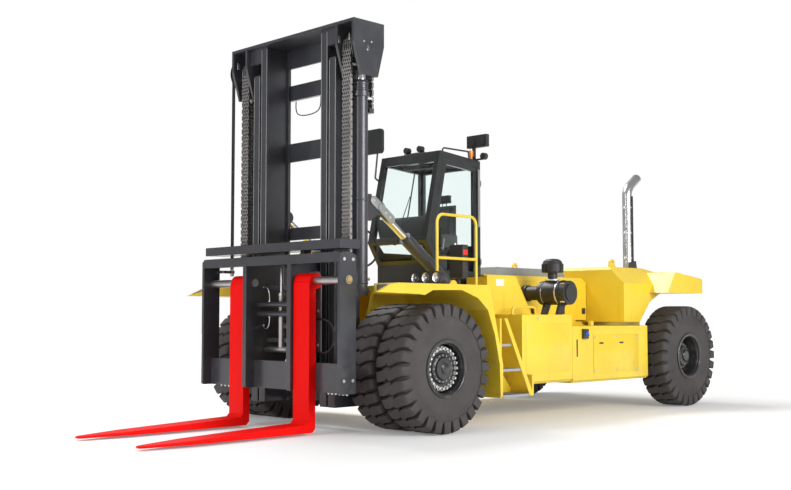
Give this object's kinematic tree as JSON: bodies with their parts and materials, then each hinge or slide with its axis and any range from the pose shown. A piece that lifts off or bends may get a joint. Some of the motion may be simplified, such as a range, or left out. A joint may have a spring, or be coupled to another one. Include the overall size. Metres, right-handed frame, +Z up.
{
  "type": "forklift truck",
  "caption": "Heavy counterbalanced forklift truck with a duplex mast, fork carriage, offset cab, twin drive tyres and steered rear axle.",
  "frame": {"origin": "on the floor under the middle of the truck's whole box, forks lowered", "axes": "+X towards the fork tips, +Y to the driver's left, +Z up"},
  "size_m": [10.786, 4.16, 5.43],
  "materials": {
    "body_yellow": "gloss",
    "cover_grey": "satin",
    "chassis_black": "satin",
    "step_grey": "satin",
    "mast_black": "satin",
    "fork_red": "gloss",
    "chain_steel": "oiled",
    "chrome_rod": "polished",
    "exhaust_steel": "polished",
    "filter_black": "matte",
    "amber": "gloss",
    "cab_dark": "satin",
    "glass": "clear",
    "seat_fabric": "woven",
    "cab_plastic": "matte",
    "rubber": "matte",
    "rim_black": "satin"
  },
  "bodies": {
    "chassis": {"air_cleaner": "filter_black", "beacon": "amber", "cab_fittings": "cab_dark", "cab_glass": "glass", "cab_shell": "cab_dark", "counterweight": "body_yellow", "deck": "body_yellow", "drive_axle": "chassis_black", "engine": "chassis_black", "entry_steps": "step_grey", "exhaust_shield": "chassis_black", "exhaust_stack": "exhaust_steel", "fenders": "body_yellow", "frame": "body_yellow", "handrail": "body_yellow", "hood_hinges": "chassis_black", "lamps": "filter_black", "lifting_eyes": "body_yellow", "precleaner": "filter_black", "seat": "seat_fabric", "seat_base": "cab_plastic", "side_tanks": "body_yellow", "steer_axle": "chassis_black", "steering_column": "cab_plastic", "switch_box": "filter_black", "tilt_feet": "body_yellow", "tow_hitch": "chassis_black"},
    "hood": {"hood": "body_yellow", "hood_cover": "cover_grey"},
    "door": {"door_frame": "cab_dark", "door_glass": "glass"},
    "drive_wheel_left": {"drive_tyres_left": "rubber", "drive_rims_left": "rim_black"},
    "drive_wheel_right": {"drive_tyres_right": "rubber", "drive_rims_right": "rim_black"},
    "knuckle_left": {"knuckle_left": "chassis_black"},
    "knuckle_right": {"knuckle_right": "chassis_black"},
    "steer_wheel_left": {"steer_tyre_left": "rubber", "steer_rim_left": "rim_black"},
    "steer_wheel_right": {"steer_tyre_right": "rubber", "steer_rim_right": "rim_black"},
    "outer_mast": {"outer_mast": "mast_black", "lift_barrels": "mast_black", "chain_backs": "chain_steel"},
    "inner_mast": {"inner_mast": "mast_black", "crosshead": "mast_black", "sheaves": "chain_steel", "lift_rods": "chrome_rod"},
    "carriage": {"carriage_frame": "mast_black", "upper_beam": "mast_black", "fork_shaft": "chrome_rod", "positioner_barrels": "mast_black", "chain_fronts": "chain_steel"},
    "fork_left": {"fork_left": "fork_red"},
    "fork_right": {"fork_right": "fork_red"},
    "tilt_barrel_left": {"tilt_barrel_left": "mast_black"},
    "tilt_barrel_right": {"tilt_barrel_right": "mast_black"},
    "tilt_rod_left": {"tilt_rod_left": "chrome_rod"},
    "tilt_rod_right": {"tilt_rod_right": "chrome_rod"}
  },
  "joints": [
    {"name": "mast_tilt", "type": "hinge", "parent": "chassis", "child": "outer_mast", "pos_m": [2.037, 0, 0.8], "axis": [0, 1, 0], "range_deg": [-10, 5]},
    {"name": "mast_lift", "type": "slide", "parent": "outer_mast", "child": "inner_mast", "axis": [0, 0, 1], "range_m": [0, 2.6], "deforming": ["chain_backs"]},
    {"name": "carriage_lift", "type": "slide", "parent": "inner_mast", "child": "carriage", "axis": [0, 0, 1], "range_m": [0, 2.6], "deforming": ["chain_fronts"]},
    {"name": "fork_left_slide", "type": "slide", "parent": "carriage", "child": "fork_left", "axis": [0, 1, 0], "range_m": [0, 0.56]},
    {"name": "tilt_barrel_left_turn", "type": "hinge", "parent": "chassis", "child": "tilt_barrel_left", "pos_m": [0.457, 1, 1.965], "axis": [0, 1, 0], "range_deg": [-7, 4]},
    {"name": "tilt_rod_left_slide", "type": "slide", "parent": "tilt_barrel_left", "child": "tilt_rod_left", "axis": [0.8184, 0, 0.5746], "range_m": [-0.34, 0.175]},
    {"name": "drive_wheel_left_spin", "type": "hinge", "parent": "chassis", "child": "drive_wheel_left", "pos_m": [1.677, 1.55, 0.85], "axis": [0, 1, 0], "continuous": true},
    {"name": "steer_left", "type": "hinge", "parent": "chassis", "child": "knuckle_left", "pos_m": [-4.543, 1.47, 0.85], "axis": [0, 0, 1], "range_deg": [-60, 60]},
    {"name": "steer_wheel_left_spin", "type": "hinge", "parent": "knuckle_left", "child": "steer_wheel_left", "pos_m": [-4.543, 1.72, 0.85], "axis": [0, 1, 0], "continuous": true},
    {"name": "fork_right_slide", "type": "slide", "parent": "carriage", "child": "fork_right", "axis": [0, -1, 0], "range_m": [0, 0.56]},
    {"name": "tilt_barrel_right_turn", "type": "hinge", "parent": "chassis", "child": "tilt_barrel_right", "pos_m": [0.457, -1, 1.965], "axis": [0, 1, 0], "range_deg": [-7, 4]},
    {"name": "tilt_rod_right_slide", "type": "slide", "parent": "tilt_barrel_right", "child": "tilt_rod_right", "axis": [0.8184, 0, 0.5746], "range_m": [-0.34, 0.175]},
    {"name": "drive_wheel_right_spin", "type": "hinge", "parent": "chassis", "child": "drive_wheel_right", "pos_m": [1.677, -1.55, 0.85], "axis": [0, 1, 0], "continuous": true},
    {"name": "steer_right", "type": "hinge", "parent": "chassis", "child": "knuckle_right", "pos_m": [-4.543, -1.47, 0.85], "axis": [0, 0, 1], "range_deg": [-60, 60]},
    {"name": "steer_wheel_right_spin", "type": "hinge", "parent": "knuckle_right", "child": "steer_wheel_right", "pos_m": [-4.543, -1.72, 0.85], "axis": [0, 1, 0], "continuous": true},
    {"name": "door_swing", "type": "hinge", "parent": "chassis", "child": "door", "pos_m": [-0.453, 0.795, 2.95], "axis": [0, 0, 1], "range_deg": [0, 95]},
    {"name": "hood_lift", "type": "hinge", "parent": "chassis", "child": "hood", "pos_m": [-2.273, -0.825, 1.56], "axis": [1, 0, 0], "range_deg": [0, 55]}
  ],
  "couplings": [
    {"joint": "carriage_lift", "follows": "mast_lift", "ratio": 1},
    {"joint": "steer_right", "follows": "steer_left", "ratio": 1},
    {"joint": "tilt_barrel_left_turn", "follows": "mast_tilt", "ratio": 0.665},
    {"joint": "tilt_rod_left_slide", "follows": "mast_tilt", "m_per_rad": 1.88},
    {"joint": "tilt_barrel_right_turn", "follows": "mast_tilt", "ratio": 0.665},
    {"joint": "tilt_rod_right_slide", "follows": "mast_tilt", "m_per_rad": 1.88}
  ]
}
